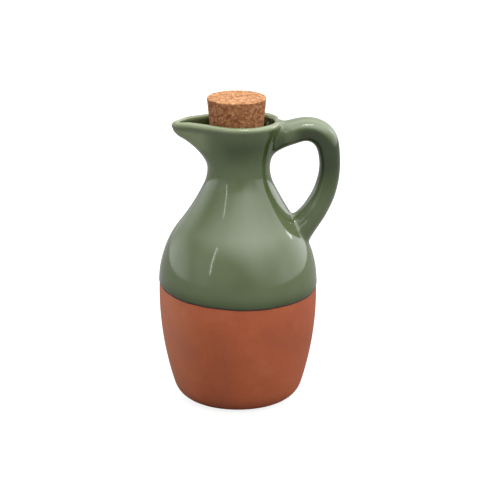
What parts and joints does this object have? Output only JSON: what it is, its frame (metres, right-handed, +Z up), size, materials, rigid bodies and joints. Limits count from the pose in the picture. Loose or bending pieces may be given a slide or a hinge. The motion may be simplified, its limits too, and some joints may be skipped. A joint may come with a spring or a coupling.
{
  "type": "oil drizzler",
  "caption": "Round-bellied pouring jug for oil, with a pinched open lip, a looped side handle and a tapered cork stopper in its throat",
  "frame": {"origin": "middle of the flat foot, on the turning axis of the body", "axes": "+Z up along the turning axis, +X towards the handle, -X towards the pouring lip, +Y completes the right-handed set"},
  "size_m": [0.0993, 0.086, 0.1694],
  "materials": {
    "earthenware": "gloss",
    "cork": "matte"
  },
  "bodies": {
    "root": {"jug": "earthenware", "stopper": "cork"}
  },
  "joints": []
}
